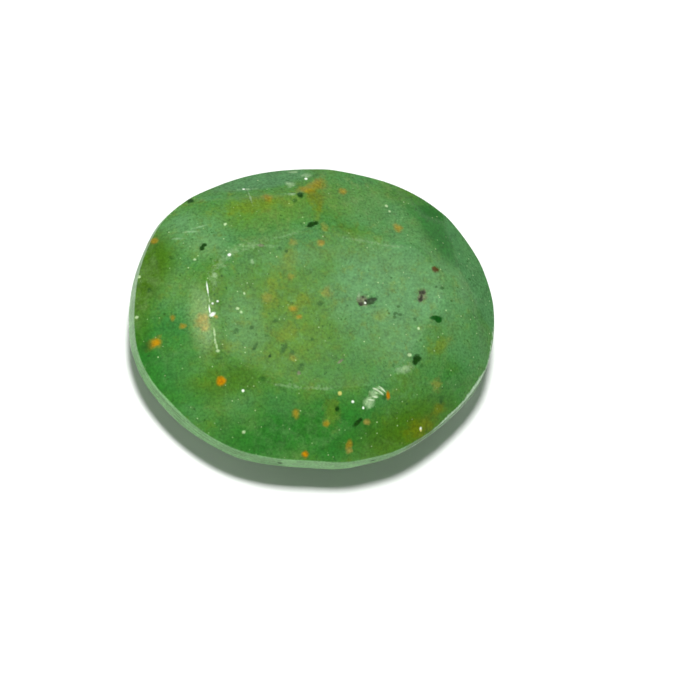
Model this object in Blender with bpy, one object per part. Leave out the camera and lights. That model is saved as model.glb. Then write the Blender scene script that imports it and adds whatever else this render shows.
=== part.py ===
# A faceted oval of green aventurine, ground and polished from one solid piece of stone.
# Metres, +Z up, long axis along X. The stone rests on its flat culet with the table up,
# and its origin is the centre of its box, on the surface that it rests on.

import math

import bmesh
import bpy
from mathutils import Matrix, Vector

MM = 0.001
STONE_NAME = "stone"
COLLECTION_NAME = "aventurine"

# The girdle seen from above: an oval, with the shoulders and flats that hand grinding leaves
HALF_LENGTH = 8.13 * MM
HALF_WIDTH = 6.77 * MM
OUTLINE_POINTS = 96
# each one is azimuth in degrees, rise in mm, half width in degrees
SHOULDERS = (
    (40, 0.09, 16),
    (72, -0.09, 18),
    (108, 0.07, 16),
    (136, 0.13, 13),
    (168, -0.13, 18),
    (202, 0.07, 14),
    (234, 0.05, 14),
    (259, -0.08, 15),
    (288, 0.09, 15),
    (320, -0.07, 14),
)

# Heights from the girdle's upper edge
CROWN_HEIGHT = 1.50 * MM
PAVILION_DEPTH = 3.82 * MM
# the girdle is ground thicker on one side than on the other
GIRDLE_THICKNESS = 0.72 * MM
GIRDLE_UNEVENNESS = 0.18 * MM
THICK_SIDE_AZIMUTH = 245
# spare stone above the table and below the culet before they are ground
BLANK_ALLOWANCE = 0.40 * MM

# Star facets round the table: azimuth, distance of the table's edge in mm, slope
STARS = (
    (3, 5.64, 17),
    (77, 3.45, 16),
    (106, 3.38, 16),
    (141, 4.42, 17),
    (180, 4.83, 17),
    (243, 3.93, 18),
    (271, 3.97, 18),
    (303, 4.45, 18),
    (323, 4.50, 17),
)

# The other facets: azimuth, slope, and the height in mm above the girdle's edge
# at which the facet leaves the outline; one below zero bites into the girdle
CROWN_MAINS = (
    (0, 31.5, 0.12),
    (36, 28.5, 0.10),
    (70, 25.0, 0.08),
    (112, 23.5, 0.12),
    (147, 25.2, 0.12),
    (177, 25.0, 0.10),
    (217, 26.5, 0.10),
    (257, 28.5, 0.10),
    (294, 29.5, 0.08),
    (331, 27.0, 0.12),
)
UPPER_GIRDLE_FACETS = (
    (10, 40, -0.14),
    (26, 38, -0.12),
    (48, 36, -0.02),
    (58, 35, 0.00),
    (99.5, 38, -0.35),
    (133, 36, -0.06),
    (158, 36, -0.03),
    (168, 36, -0.03),
    (190, 36, -0.03),
    (203, 36, -0.02),
    (232, 37, -0.02),
    (243, 38, -0.02),
    (270, 38, -0.02),
    (282, 39, -0.02),
    (308, 38, -0.04),
    (319, 37, -0.03),
    (342, 39, -0.08),
    (353, 40, -0.12),
)
PAVILION_MAINS = (
    (2, 28.5, 0.10),
    (43, 30.0, 0.12),
    (90, 32.0, 0.10),
    (136, 30.5, 0.12),
    (181, 28.5, 0.10),
    (224, 30.5, 0.08),
    (271, 32.5, 0.12),
    (317, 30.0, 0.10),
)
# two lower girdle facets lie between each pair of pavilion mains
LOWER_GIRDLE_SLOPE = 39.0
LOWER_GIRDLE_SPREAD = 0.25

# the plane cutter treats points nearer than this as lying on the cut
CUT_TOLERANCE = 0.00001 * MM
# and corners nearer than this are one corner
CORNER_MERGE = 0.01 * MM

STONE_COLOUR = (0.105, 0.262, 0.060, 1.0)
STONE_ROUGHNESS = 0.18


def clear_scene():
    for scene_object in list(bpy.data.objects):
        bpy.data.objects.remove(scene_object, do_unlink=True)


def direction(azimuth):
    angle = math.radians(azimuth)
    return Vector((math.cos(angle), math.sin(angle), 0.0))


def outline_radius(azimuth):
    # an ellipse in polar form, raised or lowered by each shoulder's bell curve
    along = direction(azimuth)
    radius = 1.0 / math.hypot(along.x / HALF_LENGTH, along.y / HALF_WIDTH)
    for centre, rise, half_width in SHOULDERS:
        away = (azimuth - centre + 180.0) % 360.0 - 180.0
        radius += rise * MM * math.exp(-(away / half_width) ** 2)
    return radius


def outline_points():
    step = 360.0 / OUTLINE_POINTS
    return [direction(i * step) * outline_radius(i * step) for i in range(OUTLINE_POINTS)]


def reach_of(points, azimuth):
    # how far the outline reaches in one direction
    along = direction(azimuth)
    return max(point.dot(along) for point in points)


def girdle_thickness(azimuth):
    turn = math.radians(azimuth - THICK_SIDE_AZIMUTH)
    return GIRDLE_THICKNESS + GIRDLE_UNEVENNESS * math.cos(turn)


def make_blank(points):
    # the preformed oval: the outline as a flat curve, filled and extruded to both sides
    top = CROWN_HEIGHT + BLANK_ALLOWANCE
    bottom = -PAVILION_DEPTH - BLANK_ALLOWANCE
    curve = bpy.data.curves.new("blank_outline", "CURVE")
    curve.dimensions = "2D"
    curve.fill_mode = "BOTH"
    curve.extrude = (top - bottom) / 2.0
    spline = curve.splines.new("POLY")
    spline.points.add(len(points) - 1)
    for spline_point, point in zip(spline.points, points):
        spline_point.co = (point.x, point.y, 0.0, 1.0)
    spline.use_cyclic_u = True
    blank = bpy.data.objects.new("blank", curve)
    blank.location.z = (top + bottom) / 2.0
    bpy.context.scene.collection.objects.link(blank)
    bpy.context.view_layer.update()

    depsgraph = bpy.context.evaluated_depsgraph_get()
    mesh = bpy.data.meshes.new_from_object(blank.evaluated_get(depsgraph))
    mesh.transform(blank.matrix_world)
    bpy.data.objects.remove(blank, do_unlink=True)
    bpy.data.curves.remove(curve)
    return mesh


def grind(stone, point, normal):
    # take off everything on the outer side of one plane, and close the stone with the new facet
    everything = stone.verts[:] + stone.edges[:] + stone.faces[:]
    bmesh.ops.bisect_plane(
        stone,
        geom=everything,
        dist=CUT_TOLERANCE,
        plane_co=point,
        plane_no=normal,
        clear_outer=True,
    )
    open_edges = [edge for edge in stone.edges if edge.is_boundary]
    if open_edges:
        bmesh.ops.holes_fill(stone, edges=open_edges, sides=0)


def grind_slope(stone, azimuth, slope, distance, height, upward=1.0):
    # a facet through the point at this distance and height, leaning outwards by its slope;
    # upward is 1 on the crown and -1 on the pavilion
    along = direction(azimuth)
    lean = math.radians(slope)
    normal = along * math.sin(lean) + Vector((0.0, 0.0, upward * math.cos(lean)))
    grind(stone, along * distance + Vector((0.0, 0.0, height)), normal)


def grind_crown(stone, points):
    for azimuth, slope, rise in CROWN_MAINS + UPPER_GIRDLE_FACETS:
        grind_slope(stone, azimuth, slope, reach_of(points, azimuth), rise * MM)
    for azimuth, distance, slope in STARS:
        grind_slope(stone, azimuth, slope, distance * MM, CROWN_HEIGHT)
    grind(stone, Vector((0.0, 0.0, CROWN_HEIGHT)), Vector((0.0, 0.0, 1.0)))


def lower_girdle_azimuths():
    # the pairs of directions that part the gaps between pavilion mains
    mains = [facet[0] for facet in PAVILION_MAINS]
    for here, following in zip(mains, mains[1:] + [mains[0] + 360]):
        gap = following - here
        yield here + gap * LOWER_GIRDLE_SPREAD
        yield following - gap * LOWER_GIRDLE_SPREAD


def grind_pavilion(stone, points):
    for azimuth, slope, rise in PAVILION_MAINS:
        height = -girdle_thickness(azimuth) - rise * MM
        grind_slope(stone, azimuth, slope, reach_of(points, azimuth), height, upward=-1.0)
    for azimuth in lower_girdle_azimuths():
        height = -girdle_thickness(azimuth)
        reach = reach_of(points, azimuth)
        grind_slope(stone, azimuth, LOWER_GIRDLE_SLOPE, reach, height, upward=-1.0)
    grind(stone, Vector((0.0, 0.0, -PAVILION_DEPTH)), Vector((0.0, 0.0, -1.0)))


def seat_on_origin(stone):
    # bring the culet down to z = 0 and the middle of the box over the origin
    corners = [vertex.co for vertex in stone.verts]
    low = Vector(tuple(min(corner[axis] for corner in corners) for axis in range(3)))
    high = Vector(tuple(max(corner[axis] for corner in corners) for axis in range(3)))
    middle = (low + high) / 2.0
    shift = Matrix.Translation((-middle.x, -middle.y, -low.z))
    bmesh.ops.transform(stone, matrix=shift, verts=stone.verts[:])


def stone_material():
    material = bpy.data.materials.new("polished_aventurine")
    material.use_nodes = True
    material.diffuse_color = STONE_COLOUR
    shader = material.node_tree.nodes["Principled BSDF"]
    shader.inputs["Base Color"].default_value = STONE_COLOUR
    shader.inputs["Roughness"].default_value = STONE_ROUGHNESS
    shader.inputs["Metallic"].default_value = 0.0
    return material


def cut_stone(collection):
    points = outline_points()
    mesh = make_blank(points)
    stone = bmesh.new()
    stone.from_mesh(mesh)
    bmesh.ops.remove_doubles(stone, verts=stone.verts[:], dist=CORNER_MERGE)
    grind_crown(stone, points)
    grind_pavilion(stone, points)
    bmesh.ops.remove_doubles(stone, verts=stone.verts[:], dist=CORNER_MERGE)
    bmesh.ops.recalc_face_normals(stone, faces=stone.faces[:])
    seat_on_origin(stone)
    stone.to_mesh(mesh)
    stone.free()
    mesh.name = STONE_NAME
    mesh.materials.clear()
    mesh.materials.append(stone_material())
    stone_object = bpy.data.objects.new(STONE_NAME, mesh)
    collection.objects.link(stone_object)


def main():
    clear_scene()
    collection = bpy.data.collections.new(COLLECTION_NAME)
    bpy.context.scene.collection.children.link(collection)
    cut_stone(collection)


main()
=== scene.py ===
import math

import bpy
import numpy as np
from mathutils import Matrix, Vector


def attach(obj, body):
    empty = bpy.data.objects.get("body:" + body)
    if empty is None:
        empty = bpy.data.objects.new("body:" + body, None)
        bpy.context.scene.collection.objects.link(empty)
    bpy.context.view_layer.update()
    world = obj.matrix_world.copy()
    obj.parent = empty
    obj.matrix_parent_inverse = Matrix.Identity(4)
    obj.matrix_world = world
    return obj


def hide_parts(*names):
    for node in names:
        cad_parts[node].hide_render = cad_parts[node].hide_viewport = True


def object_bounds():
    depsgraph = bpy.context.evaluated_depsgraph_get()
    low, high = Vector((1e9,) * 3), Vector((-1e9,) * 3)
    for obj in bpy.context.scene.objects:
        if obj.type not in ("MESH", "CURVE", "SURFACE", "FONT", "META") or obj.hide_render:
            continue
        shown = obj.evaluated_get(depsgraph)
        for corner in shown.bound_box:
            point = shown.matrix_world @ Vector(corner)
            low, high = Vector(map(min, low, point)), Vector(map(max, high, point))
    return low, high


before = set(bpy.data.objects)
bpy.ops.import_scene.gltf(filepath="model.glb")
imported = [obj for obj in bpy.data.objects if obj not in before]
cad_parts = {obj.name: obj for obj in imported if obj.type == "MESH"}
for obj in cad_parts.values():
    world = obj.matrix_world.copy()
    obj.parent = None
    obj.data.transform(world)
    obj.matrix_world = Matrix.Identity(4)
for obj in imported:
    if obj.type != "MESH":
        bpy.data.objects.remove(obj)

cadLow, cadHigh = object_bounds()
mm = 0.001
print("frame loaded:", sorted(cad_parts))


# camera: on the photo's line of sight, 22 degrees off straight down

cameraPlan = {
    "tilt": 22.0,            # degrees off the vertical
    "bearing": 231.5,        # degrees from +X, where the camera stands
    "distance": 250.0,       # mm from the girdle's middle
    "lens": 307.5,
    "sensor": 36.0,
    "girdleHeight": 3.82,    # mm, the level that the distance is measured from
    "girdleMiddle": (-0.07, -0.06),
    "lookAt": (0.90, -1.11),    # mm, the point of that level at the picture's middle
    "roll": -3.5,            # degrees, where the picture's own right hand points
}


def unitFromTilt(tilt, bearing):
    # a unit vector leaning by tilt from straight up, towards a bearing
    lean, turn = math.radians(tilt), math.radians(bearing)
    return Vector((math.sin(lean) * math.cos(turn), math.sin(lean) * math.sin(turn), math.cos(lean)))


def makeCamera(plan):
    # stands at a distance from the girdle's middle and looks at the place of the picture's middle
    toCamera = unitFromTilt(plan["tilt"], plan["bearing"])
    stand = Vector((*plan["girdleMiddle"], plan["girdleHeight"])) + toCamera * plan["distance"]
    target = Vector((*plan["lookAt"], plan["girdleHeight"]))
    back = (stand - target).normalized()
    roll = math.radians(plan["roll"])
    right = Vector((math.cos(roll), math.sin(roll), 0.0))
    right = (right - back * right.dot(back)).normalized()
    up = back.cross(right)
    lens = bpy.data.cameras.new("photoCamera")
    lens.lens = plan["lens"]
    lens.sensor_width = plan["sensor"]
    lens.clip_start = 0.01
    lens.clip_end = 50.0
    camera = bpy.data.objects.new("photoCamera", lens)
    axes = Matrix((right, up, back)).transposed()
    camera.matrix_world = Matrix.Translation(stand * mm) @ axes.to_4x4()
    bpy.context.scene.collection.objects.link(camera)
    bpy.context.scene.camera = camera


# the stone's surface, worked out on a grid round its middle

stoneShape = {
    "middle": (0.15, -0.15),    # mm, where the table's and culet's grids close
    "around": 560,              # columns
    "tableRows": 80,
    "crownRows": 46,
    "girdleRows": 8,
    "pavilionRows": 26,
    "culetRows": 8,
    "edgeSharpness": 40.0,      # per mm: how crisply facets meet
    "girdleWear": 0.04,         # mm rounded off the girdle's two edges
    # where the girdle is ground fuller or flatter, and leans out below:
    # bearing and half width in degrees, extra and lean in mm
    "grindingSides": [
        (25.0, 18.0, 0.03, 0.0), (143.0, 9.0, 0.07, 0.06), (158.0, 12.0, 0.0, 0.04),
        (174.0, 12.0, -0.10, 0.09), (204.0, 13.0, -0.10, 0.0), (262.0, 8.0, -0.03, 0.0),
        (284.0, 8.0, -0.05, 0.0), (318.0, 11.0, 0.03, 0.04), (334.0, 10.0, 0.08, 0.06),
    ],
    "creaseWidth": 0.022,       # mm of height between two facets at which wear fades
    "nickDepth": 0.012,         # mm, small nicks along the facet edges
    "nickSize": 0.45,
    "polishWaves": 0.003,       # mm, unevenness of hand polishing
    "polishWaveSize": 3.5,
    "smallestFacet": 0.01,      # square mm; smaller ones are leftovers of cutting
    "girdleGrooves": 0.006,     # mm, depth of the marks left by grinding the girdle
    "grooveSize": 1.6,          # mm along the girdle
    "grooveSqueeze": 9.0,       # how much closer they lie in height
    "girdleCentre": 3.4,        # mm
    "upperFrom": 2.6,           # mm, from here up the stone has the photographed colours
    "upperFade": 0.5,
    "pitRimSize": 0.35,         # mm, size of the unevenness of the pits' rims
    "pitRimWander": 0.22,       # as a part of a pit's half width
    # open pits in the polish: x, y, half width, depth in mm
    "pits": [
        (1.78, -0.08, 0.13, 0.06),
        (2.22, 0.02, 0.20, 0.06),
        (1.90, 0.16, 0.11, 0.05),
        (4.44, -0.07, 0.12, 0.05),
        (4.52, 0.22, 0.14, 0.06),
        (3.90, -2.75, 0.18, 0.03),
        (-4.80, -0.22, 0.10, 0.04),
        (-4.45, 0.30, 0.06, 0.03),
        (-3.80, 2.42, 0.09, 0.04),
    ],
}


def readFacets(node, smallest):
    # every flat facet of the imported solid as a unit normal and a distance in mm, largest triangle of each
    mesh = node.data
    mesh.calc_loop_triangles()
    places = np.empty(len(mesh.vertices) * 3)
    mesh.vertices.foreach_get("co", places)
    places = places.reshape(-1, 3) / mm
    corners = np.empty(len(mesh.loop_triangles) * 3, int)
    mesh.loop_triangles.foreach_get("vertices", corners)
    a, b, c = places[corners.reshape(-1, 3)].transpose(1, 0, 2)
    cross = np.cross(b - a, c - a)
    length = np.linalg.norm(cross, axis=1)
    largestFirst = np.argsort(-length)
    largestFirst = largestFirst[length[largestFirst] > 2.0 * smallest]
    normals = cross[largestFirst] / length[largestFirst, None]
    distances = (normals * a[largestFirst]).sum(1)
    _, first = np.unique(np.round(normals, 2), axis=0, return_index=True)
    normals, distances = normals[first], distances[first]
    inside = (places @ normals.T).max(0) < distances + 0.01
    return normals[inside], distances[inside]


def rayReach(normals, distances, start, bearings):
    # how far level rays run from a start point before they meet the nearest of the planes
    along = np.stack([np.cos(bearings), np.sin(bearings), np.zeros_like(bearings)], axis=1)
    closing = along @ normals.T
    gap = distances - normals @ start
    runs = np.where(closing > 1e-6, gap / np.maximum(closing, 1e-6), np.inf)
    return runs.min(1)


def softHeight(normals, distances, x, y, sharpness):
    # height of the facets over each point: minus the log of a sum of exponentials, so edges are rounded;
    # a negative sharpness gives the facets from below. The gap to the second facet tells how near an edge is
    lean = distances - x[..., None] * normals[:, 0] - y[..., None] * normals[:, 1]
    away = lean / normals[:, 2] * np.sign(sharpness)
    nearest, second = np.partition(away, 1, axis=-1)[..., :2].transpose(2, 0, 1)
    total = np.exp(-abs(sharpness) * (away - nearest[..., None])).sum(-1)
    height = (nearest - np.log(total) / abs(sharpness)) * np.sign(sharpness)
    return height, second - nearest


def easeBothEnds(count):
    # steps from 0 to 1 that are closer together at both ends: even steps mixed with a half turn of a cosine
    t = np.linspace(0.0, 1.0, count)
    evenShare = 0.45
    return evenShare * t + (1.0 - evenShare) * (0.5 - 0.5 * np.cos(np.pi * t))


def waves(x, y, size, count=7):
    # a sum of plane waves whose directions turn by the golden angle, each a little finer than the last
    total = np.zeros(np.broadcast(x, y).shape)
    goldenAngle, finer = 2.39996, 1.17
    for i in range(count):
        turn = goldenAngle * i
        pitch = 2.0 * np.pi / size * finer ** i
        total += np.sin(pitch * (x * np.cos(turn) + y * np.sin(turn)) + 1.7 * i * i)
    return total / math.sqrt(count)


def bend(start, corner, end, count):
    # rows of a quadratic curve from start to end that is pulled to the corner, first and last row included
    t = np.linspace(0.0, 1.0, count)[:, None, None]
    return (1 - t) ** 2 * start + 2 * t * (1 - t) * corner + t ** 2 * end


def stoneRows(normals, distances, shape):
    # reach from the middle and height of every row, from the table's middle over the girdle to the culet's
    bearings = np.linspace(0.0, 2.0 * np.pi, shape["around"], endpoint=False)
    upright, level = 0.05, 0.9999    # a normal's z on the girdle's wall and on the table
    crown = normals[:, 2] > upright
    table = normals[:, 2] > level
    below = normals[:, 2] < -upright
    culet = normals[:, 2] < -level
    wall = ~(crown | below)
    tableHeight = distances[table].max()
    middle = np.array(shape["middle"])
    atTable = np.array([*middle, tableHeight])
    atCulet = np.array([*middle, 0.0])
    tableReach = rayReach(normals[crown & ~table], distances[crown & ~table], atTable, bearings)
    culetReach = rayReach(normals[below & ~culet], distances[below & ~culet], atCulet, bearings)
    wallReach = rayReach(normals[wall], distances[wall], atTable, bearings)
    lean = np.zeros_like(wallReach)
    for bearing, halfWidth, extra, outward in shape["grindingSides"]:
        away = (np.degrees(bearings) - bearing + 180.0) % 360.0 - 180.0
        wallReach = wallReach + extra * np.exp(-(away / halfWidth) ** 2)
        lean = lean + outward * np.exp(-(away / halfWidth) ** 2)
    lowReach = wallReach + lean
    sharp = shape["edgeSharpness"]

    def surfaceAt(reach, side, sharpness):
        # height and nearness of a facet edge for rows of reaches
        reach = np.atleast_2d(reach)
        x, y = middle[0] + reach * np.cos(bearings), middle[1] + reach * np.sin(bearings)
        height, gap = softHeight(normals[side], distances[side], x, y, sharpness)
        return height, np.exp(-gap / shape["creaseWidth"])

    wear = shape["girdleWear"]
    outward = np.linspace(0.0, 1.0, shape["tableRows"])[1:, None]
    tighten = 0.25    # the table's rows lie closer together towards its edge
    tableGrid = ((1.0 + tighten) * outward - tighten * outward ** 3) * tableReach
    crownRun = wallReach - wear - tableReach
    crownGrid = tableReach + easeBothEnds(shape["crownRows"])[1:, None] * crownRun
    down = np.linspace(0.0, 1.0, shape["girdleRows"])[1:, None]
    girdleGrid = wallReach + down * lean
    pavilionRun = lowReach - wear - culetReach
    pavilionGrid = lowReach - wear - easeBothEnds(shape["pavilionRows"])[1:, None] * pavilionRun
    culetGrid = (1.0 - np.linspace(0.0, 1.0, shape["culetRows"]))[1:-1, None] * culetReach

    top = surfaceAt(np.vstack([tableGrid, crownGrid, wallReach]), crown, sharp)
    low = surfaceAt(np.vstack([lowReach, lowReach - wear, pavilionGrid, culetGrid]), below, -sharp)
    topCorner = np.array([wallReach, top[0][-1]])
    lowCorner = np.array([lowReach, low[0][0]])
    drop = np.array([0.0, wear])[:, None]
    topBend = bend(np.array([wallReach - wear, top[0][-2]]), topCorner, topCorner - drop, 5)[1:]
    lowBend = bend(lowCorner + drop, lowCorner, np.array([lowReach - wear, low[0][1]]), 5)[1:]
    topEnd, lowStart = topCorner[1] - wear, lowCorner[1] + wear
    girdleHeights = topEnd + down * (lowStart - topEnd)

    reach = np.vstack([tableGrid, crownGrid, topBend[:, 0], girdleGrid, lowBend[:, 0], pavilionGrid,
                       culetGrid])
    height = np.vstack([top[0][:-1], topBend[:, 1], girdleHeights, lowBend[:, 1], low[0][2:]])
    rounding = np.linspace(0.25, 1.0, 4)
    ground = np.concatenate([np.zeros(len(top[0]) - 1), rounding, np.ones(len(down)), rounding[::-1],
                             np.zeros(len(low[0]) - 2)])
    ground = np.broadcast_to(ground[:, None], reach.shape)
    middleRows = np.zeros((len(down) + 8, len(wallReach)))
    worn = np.vstack([top[1][:-1], middleRows, low[1][2:]])
    return bearings, middle, reach, height, ground, worn


def gridFaces(rows, columns):
    # four corners for each cell of a grid that closes round, and a fan at each end
    row, column = np.meshgrid(np.arange(rows - 1), np.arange(columns), indexing="ij")
    following = (column + 1) % columns
    cells = np.stack([row * columns + column, (row + 1) * columns + column,
                      (row + 1) * columns + following, row * columns + following], axis=-1)
    ring = np.arange(columns)
    after = (ring + 1) % columns
    last = (rows - 1) * columns
    top = np.stack([np.full(columns, rows * columns), ring, after], axis=-1)
    bottom = np.stack([np.full(columns, rows * columns + 1), last + after, last + ring], axis=-1)
    return cells.reshape(-1, 4).tolist() + top.tolist() + bottom.tolist()


def makeStone(node, shape):
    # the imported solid's own facets as one closed grid, less what grinding, polishing and use take off
    normals, distances = readFacets(node, shape["smallestFacet"])
    bearings, middle, reach, height, ground, worn = stoneRows(normals, distances, shape)
    # grinding marks run nearly level round the girdle: a small inward step that changes with height
    wander = 0.15 * waves(bearings * 5.0, 0.0 * bearings, 2.0)
    levels = waves(height * shape["grooveSqueeze"] + wander, 0.0 * height, shape["grooveSize"])
    reach = reach - shape["girdleGrooves"] * ground * (0.6 + 0.4 * levels).clip(0.0, 1.6)
    # and nowhere does it stand out of the solid's own box
    x = (middle[0] + reach * np.cos(bearings)).clip(cadLow[0] / mm, cadHigh[0] / mm)
    y = (middle[1] + reach * np.sin(bearings)).clip(cadLow[1] / mm, cadHigh[1] / mm)
    # polishing leaves faint waves, and use leaves nicks along the edges; both only take stone away
    side = np.sign(height - shape["girdleCentre"]) * (1.0 - ground)
    hollows = (1.0 + waves(x, y, shape["polishWaveSize"])).clip(0.0, 2.0)
    height = height - side * shape["polishWaves"] * hollows
    nicks = (waves(x, y, shape["nickSize"]) - 0.4).clip(0.0, 1.5)
    height = height - side * shape["nickDepth"] * worn * nicks
    # pits: bell-shaped hollows whose rims are uneven
    onTop = height > cameraPlan["girdleHeight"]
    for pitX, pitY, halfWidth, depth in shape["pits"]:
        away = np.hypot(x - pitX, y - pitY) / halfWidth
        away = away * (1.0 + shape["pitRimWander"] * waves(x, y, shape["pitRimSize"]))
        height = height - np.where(onTop, depth * np.exp(-away ** 4), 0.0)
    places = np.stack([x, y, height], axis=-1).reshape(-1, 3)
    ends = np.array([[middle[0], middle[1], distances[normals[:, 2] > 0.9999].max()],
                     [middle[0], middle[1], 0.0]])
    places = np.vstack([places, ends]) * mm
    mesh = bpy.data.meshes.new("facetedStone")
    mesh.from_pydata(places.tolist(), [], gridFaces(*reach.shape))
    mesh.shade_smooth()
    upper = ((height - shape["upperFrom"]) / shape["upperFade"]).clip(0.0, 1.0)
    for name, values in (("groundFinish", ground), ("wornEdge", worn), ("upperSide", upper)):
        attribute = mesh.attributes.new(name, "FLOAT", "POINT")
        attribute.data.foreach_set("value", np.append(values.ravel(), [0.0, 0.0]).astype(np.float32))
    mesh.update()
    stone = bpy.data.objects.new("facetedStone", mesh)
    bpy.context.scene.collection.objects.link(stone)
    return stone


# the stone's material; places are in mm on the stone, seen from above

stoneColour = {
    "olive": (0.090, 0.205, 0.030),
    "teal": (0.064, 0.215, 0.062),
    "deep": (0.026, 0.140, 0.012),
    "gold": (0.150, 0.185, 0.010),       # warm wisps
    "milk": (0.130, 0.300, 0.120),       # pale bluish wisps
    "ground": (0.225, 0.430, 0.190),     # the matte girdle
    "frosted": (0.300, 0.450, 0.240),    # worn facet edges
    # pale dots for the flakes' sparkle: painted glints
    "micaGlint": (0.450, 0.600, 0.300),
    "inclusion": (0.020, 0.075, 0.012),
    "cloudSize": 1.9,            # mm
    "mottleSize": 0.55,
    "wispSize": 0.42,
    "grainSize": 0.11,
    "fleckSize": 0.26,
    "rimWander": 0.20,           # size of the unevenness of the marks' rims
    # scattered dots: size of the cells and reach of a dot in its cell, share of cells with one, and cover
    "darkSpecks": {"size": 0.42, "reach": 0.17, "share": 0.55, "cover": 0.80},
    "micaSparkles": {"size": 0.24, "reach": 0.19, "share": 0.28, "cover": 0.75},
}

stoneFinish = {
    "ior": 1.545,
    "gloss": 0.30,           # 0.5 is a flawless polish
    "polish": 0.17,          # roughness of the facets
    "ground": 0.45,          # roughness of the girdle
    "glow": 0.15,            # share of light that enters the stone
    "glowDepth": 0.35,       # mm
}

# large clouds in the stone: each tint with x, y, width, height, turn, cover for every cloud;
# the deeper ones lie over the wisps
stoneClouds = {
    "olive": {
        "colour": (0.102, 0.212, 0.022),
        "places": [(-1.75, -0.85, 4.6, 5.0, 0, 0.70), (-2.0, 4.55, 4.3, 1.5, 4, 0.65),
                   (2.0, 4.75, 2.8, 1.5, 0, 0.50)],
    },
    # pale bluish green clouds; the large one over the table's right half is partly painted sheen, the
    # table's soft reflection painted into its colour
    "paleTealAndSheen": {
        "colour": (0.120, 0.275, 0.112),
        "places": [(-1.2, 2.1, 2.4, 1.0, 0, 0.35), (2.95, 0.7, 4.9, 4.6, 0, 0.75),
                   (-4.85, 3.8, 2.5, 1.8, 0, 0.60), (-3.5, -0.45, 1.6, 2.9, 0, 0.45),
                   (-3.95, -4.2, 1.4, 1.3, 0, 0.40), (3.3, -1.9, 3.2, 2.2, 0, 0.55),
                   (6.0, -0.2, 2.2, 4.4, 0, 0.55)],
    },
    # pale bluish wisps; the first, on the facet left of the table, is a painted sheen where that facet
    # mirrors a bright lamp
    "milkyAndSheen": {
        "colour": (0.205, 0.325, 0.125),
        "places": [(-5.2, -0.4, 1.0, 3.1, 0, 0.68), (-2.3, 2.95, 3.6, 0.5, 14, 0.20),
                   (0.45, 2.3, 2.2, 0.8, 0, 0.14), (-4.75, 2.95, 1.3, 1.1, 0, 0.22),
                   (-6.2, 1.4, 1.8, 2.0, 0, 0.16)],
    },
}

deepClouds = {
    "freshGreen": {
        "colour": (0.056, 0.190, 0.043),
        "places": [(7.25, -0.9, 1.0, 3.6, 0, 0.80), (5.1, -3.8, 2.4, 2.6, -24, 0.60),
                   (0.2, -3.0, 3.6, 1.4, 0, 0.50), (0.5, -4.6, 3.1, 1.0, 6, 0.45),
                   (-4.0, -4.3, 4.0, 2.4, -30, 0.45)],
    },
    "deepGreen": {
        "colour": (0.019, 0.146, 0.014),
        "places": [(-7.0, -1.6, 2.2, 3.6, 16, 0.56), (-7.45, -2.2, 1.2, 4.2, 18, 0.75),
                   (-1.6, -5.4, 7.0, 2.4, 0, 0.88), (5.9, -3.6, 1.6, 1.8, -35, 0.50),
                   (-5.9, -3.3, 1.8, 0.9, -40, 0.30)],
    },
    "midTeal": {
        "colour": (0.078, 0.222, 0.074),
        "places": [(4.5, 2.9, 2.2, 2.6, 30, 0.60), (3.2, 4.5, 2.8, 1.5, -25, 0.45),
                   (6.35, -2.0, 1.7, 1.9, 0, 0.62), (-6.4, -2.2, 1.7, 2.0, 20, 0.24),
                   (-2.1, -4.3, 1.6, 0.9, 0, 0.26)],
    },
    "deepTeal": {
        "colour": (0.017, 0.134, 0.017), "edge": 0.45,
        "places": [(5.80, 3.40, 1.7, 3.9, 20, 0.90), (4.8, 4.9, 2.4, 0.9, -42, 0.50)],
    },
    "bronze": {
        "colour": (0.050, 0.130, 0.003),
        "places": [(-7.05, 2.5, 1.7, 3.1, -22, 0.88), (3.35, -5.55, 4.4, 1.8, 24, 0.80),
                   (-4.4, -3.15, 2.6, 1.4, 0, 0.55), (-7.65, 1.4, 1.0, 3.6, -8, 0.72)],
    },
    # the lighter strip along the rim, right of the deep green
    "rimStrip": {
        "colour": (0.074, 0.226, 0.076), "ragged": 0.4, "edge": 0.10,
        "places": [(7.75, 2.05, 2.4, 7.2, 10, 0.85)],
    },
    "farTeal": {
        "colour": (0.082, 0.205, 0.086), "ragged": 0.8, "edge": 0.25,
        "places": [(-1.85, 6.30, 5.0, 1.1, 5, 0.80)],
    },
}

# where the girdle is paler still: partly its grinding, partly painted light
girdleClouds = {
    # lighter on the left side, partly painted light falling on it, and a painted highlight along the lower
    # right edge
    "paleGroundAndHighlight": {
        "colour": (0.380, 0.500, 0.350),
        "places": [(-7.4, 2.6, 2.6, 7.6, -24, 0.68), (6.1, -4.1, 6.0, 2.4, 44, 0.50)],
    },
    # lighter along the bottom: the frosted grinding, with painted sheen on it
    "freshGroundAndSheen": {
        "colour": (0.340, 0.620, 0.290),
        "places": [(-0.6, -7.0, 9.0, 1.8, 0, 0.70)],
    },
}

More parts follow.
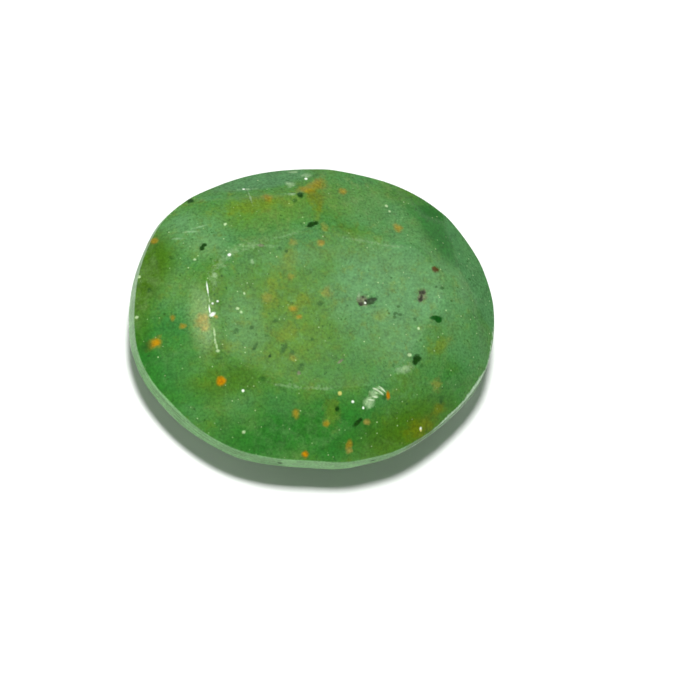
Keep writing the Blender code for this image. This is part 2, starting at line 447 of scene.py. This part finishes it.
# small marks: each kind has one colour, and x, y, width, height, turn for every mark
stoneMarks = {
    "stain": {
        "colour": (0.185, 0.215, 0.010), "cover": 0.32, "ragged": 2.8, "edge": 0.70, "coarse": True,
        "places": [
            (0.30, 4.85, 0.30, 1.00, 0), (0.40, 4.05, 0.26, 0.75, -24), (-2.15, 4.90, 2.70, 0.75, 4),
            (-4.25, -1.70, 0.75, 0.50, 0), (5.10, -2.15, 1.05, 0.45, 32),
            (-2.10, 0.75, 0.60, 1.60, -18), (-1.15, 2.00, 0.70, 1.30, -24), (2.55, -0.70, 0.65, 0.60, 0),
            (-0.10, -4.80, 0.55, 1.05, 0), (-0.95, 0.10, 1.30, 0.60, 40), (-1.60, -1.20, 0.90, 0.70, 20),
        ],
    },
    "rustStain": {
        "colour": (0.280, 0.185, 0.006), "cover": 0.66, "ragged": 2.0, "edge": 0.70, "coarse": True,
        "places": [(0.70, 5.70, 0.95, 0.44, 32), (0.15, 5.45, 0.70, 0.32, 0), (-1.60, 5.20, 0.40, 0.40, 0)],
    },
    "bronzeStain": {
        "colour": (0.135, 0.150, 0.001), "cover": 0.60, "ragged": 2.6, "edge": 0.75, "coarse": True,
        "places": [(3.90, -5.55, 1.40, 0.70, 28), (0.50, 5.00, 0.70, 0.90, 0),
                   (4.85, -4.75, 0.60, 0.40, 30)],
    },
    "peach": {
        "colour": (0.450, 0.295, 0.070), "cover": 0.55, "ragged": 2.0, "edge": 0.75,
        "places": [
            (-5.30, -0.35, 0.55, 0.42, 46), (-5.20, -0.75, 0.40, 0.26, 26), (-4.70, -0.30, 0.20, 0.16, -34),
            (0.65, -6.30, 0.24, 0.24, 0), (1.45, -5.30, 0.26, 0.20, 0),
        ],
    },
    "faintPeach": {
        "colour": (0.300, 0.240, 0.035), "cover": 0.42, "ragged": 2.6, "edge": 0.80,
        "places": [(-0.90, 2.85, 0.34, 0.30, 0), (0.30, 0.50, 0.42, 0.44, 0), (-2.35, 0.40, 0.40, 0.36, 0),
                   (-1.15, 1.30, 0.30, 0.26, 0), (-1.55, -2.35, 0.30, 0.30, 0), (0.60, 3.45, 0.26, 0.40, 0),
                   (4.75, -3.80, 0.40, 0.40, 0)],
    },
    "rust": {
        "colour": (0.480, 0.190, 0.002), "cover": 0.92, "ragged": 1.4, "edge": 0.62,
        "places": [
            (-4.75, -3.10, 0.34, 0.34, 0), (-7.25, -1.01, 0.34, 0.24, 35), (2.45, -4.25, 0.17, 0.28, 0),
            (-1.27, -6.35, 0.24, 0.24, 0),
        ],
    },
    "faintRust": {
        "colour": (0.350, 0.205, 0.012), "cover": 0.66, "ragged": 1.8, "edge": 0.75,
        "places": [
            (3.95, 3.35, 0.36, 0.38, 0), (0.35, 2.75, 0.28, 0.28, 0), (-1.25, -0.15, 0.30, 0.24, 0),
            (1.85, 5.35, 0.32, 0.28, 0), (-1.65, -4.75, 0.28, 0.32, 0), (0.65, -6.10, 0.24, 0.28, 0),
            (-6.10, -0.50, 0.26, 0.20, 0), (-6.45, -0.05, 0.18, 0.26, 0), (-7.20, 3.80, 0.28, 0.22, 0),
            (-0.35, -5.25, 0.24, 0.22, 0), (-6.68, 3.72, 0.30, 0.26, 0), (-1.05, -0.55, 0.22, 0.18, 0),
            (-7.28, -1.03, 0.56, 0.38, 30),
        ],
    },
    "redBrown": {
        "colour": (0.064, 0.025, 0.001), "cover": 0.96, "ragged": 1.6, "edge": 0.50,
        "places": [(5.27, 1.25, 0.32, 0.28, 0)],
    },
    "darkFlake": {
        "colour": (0.006, 0.040, 0.002), "cover": 0.96, "ragged": 1.5, "edge": 0.40,
        "places": [
            (-0.15, 5.15, 0.30, 0.30, 0), (0.10, 3.65, 0.52, 0.24, 22), (-4.72, 3.08, 0.24, 0.18, 10),
            (-4.83, 2.94, 0.20, 0.25, 26), (3.94, -2.72, 0.36, 0.36, 0), (3.83, -2.87, 0.28, 0.28, 0),
            (1.00, -5.32, 0.46, 0.20, 36), (1.16, -5.20, 0.16, 0.14, 0), (0.15, -4.70, 0.20, 0.22, -38),
            (-4.85, 5.45, 0.26, 0.24, 0), (-2.56, -2.22, 0.13, 0.20, -20),
        ],
    },
    "greenFlake": {
        "colour": (0.004, 0.075, 0.005), "cover": 0.96, "ragged": 0.9, "edge": 0.35,
        "places": [(5.03, -0.95, 0.56, 0.20, -3), (5.11, -1.05, 0.28, 0.22, 0)],
    },
    "girdleFlake": {
        "colour": (0.012, 0.050, 0.012), "cover": 0.85, "ragged": 0.9, "edge": 0.50,
        "level": 3.35, "tall": 0.10,
        "places": [(1.85, -6.65, 0.26, 0.40, 0), (-2.25, -6.45, 0.22, 0.40, 0)],
    },
    # a painted highlight along the girdle's lower edge, at the lower right and at the left
    "girdleEdgeHighlight": {
        "colour": (0.640, 0.740, 0.620), "cover": 0.80, "ragged": 2.2, "edge": 0.55,
        "level": 3.06, "tall": 0.13,
        "places": [(5.75, -4.75, 6.60, 2.60, 43), (-7.25, 3.10, 6.60, 2.40, 65)],
    },
    # a painted highlight: the thin pale line along the girdle's upper edge at the lower right
    "rimHighlight": {
        "colour": (0.450, 0.580, 0.430), "cover": 0.80, "ragged": 2.2, "edge": 0.55,
        "level": 3.76, "tall": 0.045,
        "places": [(6.35, -4.15, 6.80, 3.00, 47)],
    },
    "softFlake": {
        "colour": (0.020, 0.080, 0.012), "cover": 0.68, "ragged": 2.4, "edge": 0.65,
        "places": [
            (-0.45, 4.90, 0.18, 0.18, 0), (-1.50, 2.60, 0.17, 0.17, 0), (-1.25, 2.45, 0.16, 0.14, 0),
            (5.45, 0.40, 0.20, 0.13, 0), (5.20, 0.45, 0.15, 0.12, 0), (3.15, -0.80, 0.16, 0.16, 0),
            (2.80, -3.00, 0.15, 0.15, 0), (-7.20, 1.40, 0.20, 0.20, 0), (-1.90, -1.90, 0.26, 0.44, -28),
            (5.00, -4.35, 0.26, 0.30, 26), (-3.90, -1.00, 0.28, 0.24, 0), (-3.20, -0.90, 0.20, 0.15, 0),
            (-3.00, -3.20, 0.28, 0.20, 0), (-1.30, -2.80, 0.26, 0.46, -24), (4.10, -3.02, 0.24, 0.20, 0),
            (2.30, -4.30, 0.18, 0.26, 0), (-0.05, 0.00, 0.24, 0.22, 0), (-1.55, -2.15, 0.20, 0.24, 30),
            (3.20, -0.65, 0.22, 0.12, 30), (3.42, -0.72, 0.20, 0.13, 0), (3.40, -0.35, 0.14, 0.10, 0),
            (4.05, -0.95, 0.16, 0.16, 0), (-2.10, -0.65, 0.24, 0.16, 20), (-2.60, -1.30, 0.18, 0.14, 0),
            (-0.60, -1.60, 0.16, 0.14, 0), (-3.12, -1.72, 0.32, 0.14, 58), (-3.22, -1.88, 0.16, 0.14, 0),
            (-7.66, -1.08, 0.48, 0.40, 20),
        ],
    },
    "greyPit": {
        "colour": (0.175, 0.165, 0.110), "cover": 0.80, "ragged": 2.0, "edge": 0.50,
        "places": [
            (-2.30, 2.80, 0.26, 0.16, 0), (1.86, 0.04, 0.44, 0.48, -20), (4.50, 0.08, 0.38, 0.56, -12),
            (-1.38, -3.05, 0.16, 0.20, 0), (0.50, -2.65, 0.30, 0.10, 32),
        ],
    },
    "leafPit": {
        "colour": (0.028, 0.048, 0.022), "cover": 0.90, "ragged": 0.9, "edge": 0.40,
        "places": [(2.20, -0.01, 0.46, 0.32, 18), (2.38, 0.06, 0.22, 0.14, 10)],
    },
    "pitFloor": {
        "colour": (0.034, 0.032, 0.024), "cover": 0.88, "ragged": 1.8, "edge": 0.50,
        "places": [
            (1.75, -0.11, 0.24, 0.18, 16), (4.53, 0.24, 0.30, 0.22, 0), (4.44, -0.07, 0.24, 0.20, 16),
            (1.90, 0.20, 0.14, 0.08, 0), (1.98, 0.00, 0.10, 0.14, 0), (4.50, 0.09, 0.14, 0.24, -15),
        ],
    },
    # pale films; the first, at the table's lower right edge, is a painted highlight
    "paleFilmAndSheen": {
        "colour": (0.360, 0.500, 0.290), "cover": 0.48, "ragged": 2.6, "edge": 0.75,
        "places": [
            (3.31, -3.15, 0.62, 0.28, 15), (-0.05, 6.60, 0.35, 0.14, 0), (0.45, 6.30, 0.40, 0.20, 0),
            (-0.40, 5.85, 0.35, 0.28, 0), (-0.50, 5.25, 0.26, 0.14, 0), (-4.50, 1.55, 0.22, 0.26, 36),
            (-2.80, 2.10, 0.14, 0.20, 0), (1.72, 0.28, 0.12, 0.24, 0), (-2.32, 5.80, 0.60, 0.09, -2),
            (-2.30, 5.30, 0.07, 0.60, 0),
        ],
    },
    "scratch": {
        "colour": (0.330, 0.480, 0.290), "cover": 0.36, "ragged": 2.2, "edge": 0.80,
        "places": [(-5.15, 3.85, 0.60, 0.09, -8), (-5.75, 3.62, 0.45, 0.08, -10),
                   (-4.75, 4.02, 0.55, 0.07, 10)],
    },
    # the fine broken line that runs along the table's worn edge
    "edgeFrost": {
        "colour": (0.310, 0.440, 0.250), "cover": 0.24, "ragged": 7.0, "edge": 0.90,
        "places": [
            (-4.58, 1.50, 0.28, 0.80, -20), (-4.15, 2.15, 0.80, 0.28, 50), (-3.50, 2.60, 0.70, 0.26, 34),
            (-2.85, 2.82, 0.70, 0.22, 14), (-2.05, 2.75, 0.80, 0.09, -4), (-1.30, 3.15, 1.10, 0.09, 10),
            (2.20, 2.75, 1.20, 0.08, -12), (3.40, 2.45, 1.00, 0.08, -10),
            (-2.10, -3.55, 0.90, 0.12, -10), (-0.70, -3.80, 0.80, 0.12, -6),
        ],
    },
    # painted reflection: the streaky highlight of a lamp on a scratched facet below the table, as pale
    # strokes with darker gaps between
    "streakReflectionGlow": {
        "colour": (0.440, 0.620, 0.350), "cover": 0.75, "ragged": 1.4, "edge": 0.85,
        "places": [(1.58, -4.50, 0.34, 0.40, -30), (1.83, -4.18, 0.32, 0.28, 0),
                   (2.10, -4.05, 0.30, 0.22, -30)],
    },
    "streakReflectionLine": {
        "colour": (0.660, 0.780, 0.540), "cover": 0.85, "ragged": 0.8, "edge": 0.60,
        "places": [
            (1.91, -4.01, 0.28, 0.08, -26), (2.08, -4.13, 0.32, 0.07, -30), (2.20, -4.00, 0.34, 0.06, -42),
            (1.85, -4.31, 0.22, 0.06, -10), (1.66, -4.42, 0.24, 0.06, -8),
        ],
    },
    "streakReflectionGap": {
        "colour": (0.060, 0.170, 0.035), "cover": 0.75, "ragged": 0.8, "edge": 0.60,
        "places": [(1.98, -4.10, 0.34, 0.06, -29), (2.14, -4.07, 0.30, 0.05, -36),
                   (2.02, -4.24, 0.30, 0.06, -14)],
    },
    # pale chips, partly painted glints: the dotted line down the table's left edge is a painted highlight
    "chipAndGlint": {
        "colour": (0.520, 0.680, 0.380), "cover": 0.75, "ragged": 1.6, "edge": 0.65,
        "places": [
            (-4.85, -1.04, 0.08, 0.34, 0), (-4.86, -1.40, 0.09, 0.28, 0), (-4.82, -1.64, 0.10, 0.20, 0),
            (-4.80, -1.84, 0.15, 0.11, 0), (-5.20, 2.45, 0.13, 0.10, 0), (-7.85, 0.30, 0.11, 0.11, 0),
            (-7.50, 2.15, 0.11, 0.13, 0), (-3.65, 4.00, 0.12, 0.12, 0), (3.70, 4.55, 0.12, 0.12, 0),
            (3.77, 4.25, 0.11, 0.11, 0), (-3.90, -5.25, 0.13, 0.12, 0), (3.60, -2.55, 0.15, 0.14, 0),
            (-3.70, 0.00, 0.14, 0.11, 0), (-3.57, -0.17, 0.13, 0.13, 0), (-3.33, 0.66, 0.09, 0.11, 0),
            (4.16, -1.39, 0.09, 0.10, 0), (-4.88, 0.44, 0.06, 0.18, 0),
        ],
    },
    # white chips, partly painted glints: the thin white line along the table's left edge and the white dots
    # are painted highlights
    "frostAndGlint": {
        "colour": (0.880, 0.940, 0.840), "cover": 0.95, "ragged": 0.9, "edge": 0.65,
        "places": [
            (-4.90, 0.98, 0.06, 0.52, 0), (-4.93, 0.04, 0.06, 0.34, 0), (-4.83, -0.19, 0.26, 0.15, 26),
            (-4.54, 0.37, 0.10, 0.09, 0), (-4.77, 0.29, 0.10, 0.09, 0), (-3.75, 2.46, 0.14, 0.11, 0),
            (0.35, 6.10, 0.12, 0.12, 0), (-2.45, 5.83, 0.09, 0.08, 0), (-3.85, -3.60, 0.11, 0.11, 0),
            (0.85, -4.45, 0.11, 0.10, 0), (1.30, -4.73, 0.10, 0.10, 0), (3.97, -5.54, 0.10, 0.13, 0),
            (1.95, -0.08, 0.09, 0.09, 0),
        ],
    },
    "amber": {
        "colour": (0.700, 0.620, 0.180), "cover": 0.80, "ragged": 0.9, "edge": 0.60,
        "places": [(0.30, -4.07, 0.16, 0.16, 0), (3.97, -5.60, 0.08, 0.10, 0)],
    },
}


def nodeMaker(tree):
    # a short way to add a node, wire or set its inputs and get one output back
    def make(kind, inputs=None, output=0, **settings):
        node = tree.nodes.new(kind)
        for name, value in settings.items():
            setattr(node, name, value)
        for socket, value in (inputs or {}).items():
            if isinstance(value, bpy.types.NodeSocket):
                tree.links.new(value, node.inputs[socket])
            else:
                node.inputs[socket].default_value = value
        return node.outputs[output]
    return make


def ramp(make, value, low, high, start=0.0, end=1.0, **settings):
    # goes from start to end while the value goes from low to high, and stays level beyond
    return make("ShaderNodeMapRange", {"Value": value, 1: low, 2: high, 3: start, 4: end}, **settings)


def blendColours(make, amount, under, over):
    # one colour laid over another: under times what the amount leaves of 1, plus over times the amount
    under = (*under, 1.0) if isinstance(under, tuple) else under
    over = (*over, 1.0) if isinstance(over, tuple) else over
    return make("ShaderNodeMix", {0: amount, 6: under, 7: over}, output=2, data_type="RGBA")


def centredNoise(make, place, size, detail=3.0, roughness=0.5):
    # noise that swings both ways round zero; size is that of its largest blotches in mm
    noise = make("ShaderNodeTexNoise", {"Vector": place, "Scale": 1.0 / size, "Detail": detail,
                                        "Roughness": roughness})
    return make("ShaderNodeMath", {0: noise, 1: 0.5}, operation="SUBTRACT")


def markCover(make, place, wander, mark, ragged, edge, cover, level=4.6, tall=12.0):
    # how much one elliptical mark covers: a ball that fades outwards, whose rim noise pushes to and fro.
    # The ball reaches past the rim, far enough for the noise; level and tall are its height and half depth
    x, y, width, height, turn = mark
    reach = 1.0 + edge + 0.35 * ragged
    near = make("ShaderNodeMapping", {"Vector": place, "Location": (x, y, level),
                                      "Rotation": (0.0, 0.0, math.radians(turn)),
                                      "Scale": (width / 2.0 * reach, height / 2.0 * reach, tall * reach)},
                vector_type="TEXTURE")
    ball = make("ShaderNodeTexGradient", {"Vector": near}, output="Fac", gradient_type="SPHERICAL")
    ball = make("ShaderNodeMath", {0: wander, 1: ragged / reach, 2: ball}, operation="MULTIPLY_ADD")
    outer, inner = 1.0 - (1.0 + edge) / reach, 1.0 - (1.0 - edge) / reach
    return ramp(make, ball, outer, inner, 0.0, cover, interpolation_type="SMOOTHSTEP")


def speckCover(make, place, size, reach, share, cover):
    # scattered dots: the middle of some cells of a cell pattern; reach is a part of the cell's size,
    # and the dots differ in strength
    distance = make("ShaderNodeTexVoronoi", {"Vector": place, "Scale": 1.0 / size}, output="Distance")
    chance = make("ShaderNodeTexVoronoi", {"Vector": place, "Scale": 1.0 / size}, output="Color")
    chance = make("ShaderNodeSeparateColor", {0: chance}, output=0)
    strength = ramp(make, chance, 1.0 - share, 1.0, 0.0, cover)
    dot = ramp(make, distance, reach * 0.4, reach, 1.0, 0.0)
    return make("ShaderNodeMath", {0: dot, 1: strength}, operation="MULTIPLY")


def paintClouds(make, place, wander, colour, clouds):
    # each cloud covers the colour below it, as a large mark with a soft rim
    for tint in clouds.values():
        ragged, edge = tint.get("ragged", 1.5), tint.get("edge", 0.60)
        for *spot, cover in tint["places"]:
            amount = markCover(make, place, wander, spot, ragged, edge, cover)
            colour = blendColours(make, amount, colour, tint["colour"])
    return colour


def paintStone():
    # layers from the bottom up: body, clouds, wisps, deeper clouds, flecks, wear, the girdle, the marks
    material = bpy.data.materials.new("polishedAventurine")
    material.use_nodes = True
    tree = material.node_tree
    tree.nodes.clear()
    make = nodeMaker(tree)
    place = make("ShaderNodeTexCoord", output="Object")
    place = make("ShaderNodeMapping", {"Vector": place, "Scale": (1 / mm, 1 / mm, 1 / mm)})
    cloud = centredNoise(make, place, stoneColour["cloudSize"], 4.0)
    mottle = centredNoise(make, place, stoneColour["mottleSize"], 4.0)
    wisp = centredNoise(make, place, stoneColour["wispSize"], 5.0, 0.68)
    grain = centredNoise(make, place, stoneColour["grainSize"], 2.0)

    # the body's colour: olive and bluish green in clouds, deeper green here and there
    hue = ramp(make, cloud, -0.16, 0.16)
    colour = blendColours(make, hue, stoneColour["olive"], stoneColour["teal"])
    depth = ramp(make, mottle, -0.05, 0.30, 0.1, 0.6)
    colour = blendColours(make, depth, colour, stoneColour["deep"])
    plain = colour
    colour = paintClouds(make, place, cloud, colour, stoneClouds)

    # wisps of warmer and of paler green, dark flecks between the grains, and pale dots for the flakes'
    # sparkle: painted glints
    warm = ramp(make, wisp, 0.02, 0.22, 0.0, 0.42)
    colour = blendColours(make, warm, colour, stoneColour["gold"])
    pale = ramp(make, wisp, -0.02, -0.22, 0.0, 0.36)
    colour = blendColours(make, pale, colour, stoneColour["milk"])
    colour = paintClouds(make, place, cloud, colour, deepClouds)
    crown = make("ShaderNodeAttribute", output="Fac", attribute_name="upperSide")
    colour = blendColours(make, crown, plain, colour)
    fleck = centredNoise(make, place, stoneColour["fleckSize"], 3.0, 0.6)
    fleck = make("ShaderNodeMath", {0: mottle, 1: 0.5, 2: fleck}, operation="MULTIPLY_ADD")
    fleck = ramp(make, fleck, 0.17, 0.27, 0.0, 0.70)
    colour = blendColours(make, fleck, colour, stoneColour["inclusion"])
    specks = speckCover(make, place, **stoneColour["darkSpecks"])
    colour = blendColours(make, specks, colour, stoneColour["inclusion"])
    sparkle = speckCover(make, place, **stoneColour["micaSparkles"])
    colour = blendColours(make, sparkle, colour, stoneColour["micaGlint"])

    # worn facet edges are frosted, and the ground girdle is paler, with lines along it
    worn = make("ShaderNodeAttribute", output="Fac", attribute_name="wornEdge")
    wornPatches = ramp(make, wisp, -0.10, 0.15, 0.0, 0.12)
    worn = make("ShaderNodeMath", {0: worn, 1: wornPatches}, operation="MULTIPLY")
    colour = blendColours(make, worn, colour, stoneColour["frosted"])
    ground = make("ShaderNodeAttribute", output="Fac", attribute_name="groundFinish")
    lengthwise = make("ShaderNodeMapping", {"Vector": place, "Scale": (0.5, 0.5, 9.0)})
    lines = make("ShaderNodeTexNoise", {"Vector": lengthwise, "Scale": 1.0, "Detail": 2.0})
    lines = ramp(make, lines, 0.3, 0.7, 0.70, 1.28)
    groundColour = make("ShaderNodeHueSaturation", {"Color": (*stoneColour["ground"], 1.0), "Value": lines})
    groundColour = paintClouds(make, place, cloud, groundColour, girdleClouds)
    colour = blendColours(make, ground, colour, groundColour)

    marked = colour
    wander = centredNoise(make, place, stoneColour["rimWander"], 3.0, 0.6)
    for name, kind in stoneMarks.items():
        rim = wisp if kind.get("coarse") else wander
        for mark in kind["places"]:
            amount = markCover(make, place, rim, mark, kind["ragged"], kind["edge"], kind["cover"],
                               kind.get("level", 4.6), kind.get("tall", 12.0))
            marked = blendColours(make, amount, marked, kind["colour"])
        print("marks painted:", name, len(kind["places"]))
    colour = blendColours(make, crown, colour, marked)

    # mottling and grain make all of it lighter and darker
    shade = make("ShaderNodeMath", {0: mottle, 1: 0.6, 2: 0.97}, operation="MULTIPLY_ADD")
    shade = make("ShaderNodeMath", {0: grain, 1: 1.1, 2: shade}, operation="MULTIPLY_ADD")
    colour = make("ShaderNodeHueSaturation", {"Color": colour, "Saturation": 1.02, "Value": shade})

    rough = ramp(make, ground, 0.0, 1.0, stoneFinish["polish"], stoneFinish["ground"])
    ripple = make("ShaderNodeBump", {"Height": grain, "Strength": 0.15, "Distance": 0.01 * mm})
    shader = tree.nodes.new("ShaderNodeBsdfPrincipled")
    tree.links.new(colour, shader.inputs["Base Color"])
    tree.links.new(rough, shader.inputs["Roughness"])
    tree.links.new(ripple, shader.inputs["Normal"])
    shader.inputs["IOR"].default_value = stoneFinish["ior"]
    shader.inputs["Specular IOR Level"].default_value = stoneFinish["gloss"]
    shader.inputs["Subsurface Weight"].default_value = stoneFinish["glow"]
    shader.inputs["Subsurface Radius"].default_value = (0.8, 1.0, 0.6)
    shader.inputs["Subsurface Scale"].default_value = stoneFinish["glowDepth"] * mm
    output = tree.nodes.new("ShaderNodeOutputMaterial")
    tree.links.new(shader.outputs["BSDF"], output.inputs["Surface"])
    return material


# the table the stone lies on, and the light

stagePlan = {
    "floorSize": 6.0,            # metres
    "floorShade": 0.88,
    "keyTilt": 10.35,            # degrees off the vertical
    "keyBearing": 173.8,
    "keyDistance": 0.30,         # metres
    "keyRadius": 0.017,
    "keyStrength": 3.4,          # watts per square metre on the stone
    "skyBelow": (0.20, 0.24, 0.20),    # what the stone mirrors in place of the floor
    "skyLow": (0.80, 0.80, 0.80),
    "skyHigh": (0.150, 0.205, 0.152),
}

# soft boxes: tilt, bearing, distance and width in metres, radiance, and whether the facets mirror it
softBoxes = {
    "tableBox": (22.0, 51.5, 0.6, 0.20, 0.9, True),
    "starBox": (26.0, 138.0, 0.6, 0.10, 2.0, True),
    "leftBox": (68.0, 152.0, 0.8, 0.50, 1.4, False),
}


def makeFloor(plan):
    # one square of matte pale paper
    half = plan["floorSize"] / 2.0
    mesh = bpy.data.meshes.new("paleFloor")
    corners = [(-half, -half, 0), (half, -half, 0), (half, half, 0), (-half, half, 0)]
    mesh.from_pydata(corners, [], [(0, 1, 2, 3)])
    material = bpy.data.materials.new("palePaper")
    material.use_nodes = True
    shader = material.node_tree.nodes["Principled BSDF"]
    shade = plan["floorShade"]
    shader.inputs["Base Color"].default_value = (shade, shade, shade, 1.0)
    shader.inputs["Roughness"].default_value = 1.0
    shader.inputs["Specular IOR Level"].default_value = 0.0
    mesh.materials.append(material)
    floor = bpy.data.objects.new("paleFloor", mesh)
    bpy.context.scene.collection.objects.link(floor)
    floor.visible_glossy = False    # the facets that lean away would mirror it as a grey veil


def aimLight(light, tilt, bearing, distance):
    # a lamp on the given bearing that shines on the stone's middle
    toLamp = unitFromTilt(tilt, bearing)
    light.location = toLamp * distance + Vector((0.0, 0.0, 4.0 * mm))
    light.rotation_mode = "QUATERNION"
    light.rotation_quaternion = toLamp.to_track_quat("Z", "Y")
    bpy.context.scene.collection.objects.link(light)


def makeLights(plan, boxes):
    # the key is a small lamp whose light doesn't fade with distance, so that the whole floor stays pale
    key = bpy.data.lights.new("keyLight", "POINT")
    key.shadow_soft_size = plan["keyRadius"]
    key.energy = 1.0
    key.use_nodes = True
    make = nodeMaker(key.node_tree)
    wholeBall = 4.0 * math.pi    # its watts spread over all directions
    even = make("ShaderNodeLightFalloff", {"Strength": plan["keyStrength"] * wholeBall}, output="Constant")
    key.node_tree.links.new(even, key.node_tree.nodes["Emission"].inputs["Strength"])
    lamp = bpy.data.objects.new("keyLight", key)
    lamp.visible_glossy = False
    aimLight(lamp, plan["keyTilt"], plan["keyBearing"], plan["keyDistance"])
    for name, (tilt, bearing, distance, width, radiance, mirrored) in boxes.items():
        box = bpy.data.lights.new(name, "AREA")
        box.shape = "DISK"
        box.size = width
        # a disk lamp's power is its radiance times pi times its area
        box.energy = radiance * math.pi * math.pi * width ** 2 / 4.0
        panel = bpy.data.objects.new(name, box)
        panel.visible_glossy = mirrored
        aimLight(panel, tilt, bearing, distance)


def makeSky(plan):
    # pale near the horizon, as a backdrop is, and dim overhead and below
    world = bpy.data.worlds.new("studio")
    bpy.context.scene.world = world
    world.use_nodes = True
    tree = world.node_tree
    tree.nodes.clear()
    make = nodeMaker(tree)
    direction = make("ShaderNodeTexCoord", output="Generated")
    upward = make("ShaderNodeSeparateXYZ", {0: direction}, output="Z")
    fade = ramp(make, upward, 0.02, 0.45, interpolation_type="SMOOTHSTEP")
    colour = blendColours(make, fade, plan["skyLow"], plan["skyHigh"])
    rise = ramp(make, upward, -0.02, 0.02)
    colour = blendColours(make, rise, plan["skyBelow"], colour)
    background = make("ShaderNodeBackground", {"Color": colour, "Strength": 1.0})
    output = tree.nodes.new("ShaderNodeOutputWorld")
    tree.links.new(background, output.inputs["Surface"])


makeCamera(cameraPlan)
print("camera placed")
stone = makeStone(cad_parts["stone"], stoneShape)
stone.data.materials.append(paintStone())
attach(stone, "root")
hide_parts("stone")
print("stone made:", len(stone.data.polygons), "faces")
makeFloor(stagePlan)
makeLights(stagePlan, softBoxes)
makeSky(stagePlan)
bpy.context.scene.view_settings.view_transform = "Standard"
print("floor and lights made")
